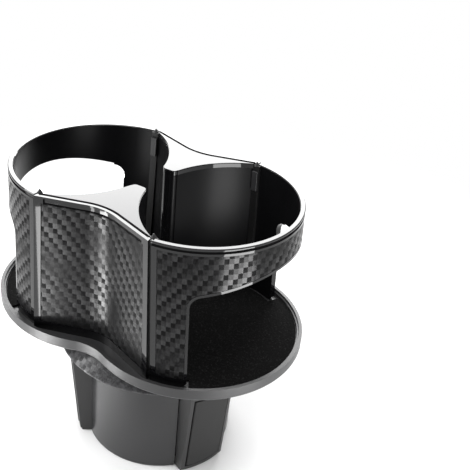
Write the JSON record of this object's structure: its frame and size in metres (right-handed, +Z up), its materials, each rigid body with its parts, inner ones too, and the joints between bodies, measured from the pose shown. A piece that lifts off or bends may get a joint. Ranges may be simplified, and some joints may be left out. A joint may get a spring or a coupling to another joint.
{
  "type": "car cup holder",
  "caption": "Twin-well cup holder for a car console: open rings with side windows on a tray that swivels on a round base with padded fins that a dial spreads.",
  "frame": {"origin": "on the axis of the base cup, at its underside", "axes": "+Z up along the swivel axis, +X along the holder's long side towards the well that lies further from the base, -Y towards the front"},
  "size_m": [0.163, 0.107, 0.1455],
  "materials": {
    "gloss_black": "piano gloss",
    "cap_black": "mirror gloss",
    "satin_black": "satin moulded",
    "carbon_leather": "twill embossed, satin",
    "felt_black": "flocked felt",
    "collar_black": "twill textured",
    "base_grey": "satin moulded",
    "fin_black": "satin moulded",
    "pad_rubber": "matte",
    "inner_grey": "moulded",
    "screw_steel": "zinc plated"
  },
  "bodies": {
    "base": {"base_cup": "base_grey", "base_cover": "base_grey", "cover_screws": "screw_steel", "fin_guide": "inner_grey", "collar": "collar_black", "collar_screws": "screw_steel", "swivel_washer": "inner_grey"},
    "holder": {"tray": "satin_black", "mat_left": "felt_black", "mat_right": "felt_black", "ring_left": "gloss_black", "ring_right": "gloss_black", "wrap_left": "carbon_leather", "wrap_right": "carbon_leather", "waist_block_front": "gloss_black", "waist_block_back": "gloss_black", "waist_cap_front": "cap_black", "waist_cap_back": "cap_black", "waist_panel_front": "carbon_leather", "waist_panel_back": "carbon_leather", "seam_post_front_left": "satin_black", "seam_post_front_right": "satin_black", "seam_post_back_left": "satin_black", "seam_post_back_right": "satin_black", "seam_clips": "satin_black", "tray_screws": "screw_steel", "swivel_retainer": "inner_grey", "retainer_screws": "screw_steel"},
    "dial": {"cam_dial": "inner_grey"},
    "right_slider": {"fin_right": "fin_black", "fin_pad_right": "pad_rubber"},
    "back_slider": {"fin_back": "fin_black", "fin_pad_back": "pad_rubber"},
    "left_slider": {"fin_left": "fin_black", "fin_pad_left": "pad_rubber"}
  },
  "joints": [
    {"name": "swivel", "type": "hinge", "parent": "base", "child": "holder", "pos_m": [0, 0, 0.0674], "axis": [0, 0, 1], "continuous": true},
    {"name": "dial_turn", "type": "hinge", "parent": "base", "child": "dial", "pos_m": [0, 0, 0.003], "axis": [0, 0, 1], "range_deg": [-67.5, 52.5]},
    {"name": "fin_right_slide", "type": "slide", "parent": "base", "child": "right_slider", "axis": [0.9135, -0.4067, 0], "range_m": [-0.0045, 0.0035]},
    {"name": "fin_back_slide", "type": "slide", "parent": "base", "child": "back_slider", "axis": [-0.1045, 0.9945, 0], "range_m": [-0.0045, 0.0035]},
    {"name": "fin_left_slide", "type": "slide", "parent": "base", "child": "left_slider", "axis": [-0.809, -0.5878, 0], "range_m": [-0.0045, 0.0035]}
  ],
  "couplings": [
    {"joint": "dial_turn", "follows": "fin_right_slide", "rad_per_m": 261.8},
    {"joint": "fin_back_slide", "follows": "fin_right_slide", "ratio": 1},
    {"joint": "fin_left_slide", "follows": "fin_right_slide", "ratio": 1}
  ]
}
